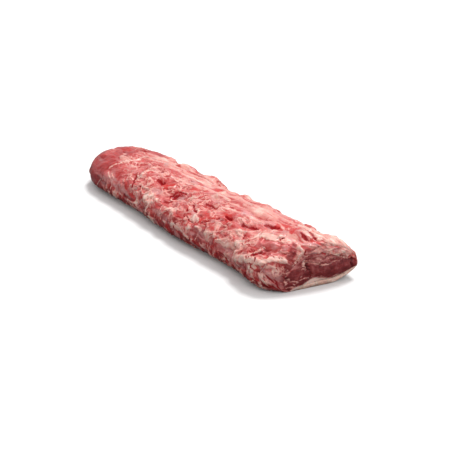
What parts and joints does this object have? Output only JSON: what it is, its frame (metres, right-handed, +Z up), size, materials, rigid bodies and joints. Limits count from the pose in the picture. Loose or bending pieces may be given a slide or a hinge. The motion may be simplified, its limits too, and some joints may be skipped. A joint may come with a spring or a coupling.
{
  "type": "raw beef joint",
  "caption": "Long raw beef striploin joint, boned out and lying on its fat cap, with a ragged lean top, a blunt rounded tip and one clean cut end.",
  "frame": {"origin": "centre of the joint's footprint, at the plane that the fat cap lies on", "axes": "+X along the joint towards the cut end, +Z up, -Y towards the long side that is shown"},
  "size_m": [0.567, 0.1418, 0.064],
  "materials": {
    "lean": "moist raw lean beef with pale fat marbling",
    "fat": "waxy cream-coloured beef fat"
  },
  "bodies": {
    "root": {"lean": "lean", "fat_cap": "fat"}
  },
  "joints": []
}
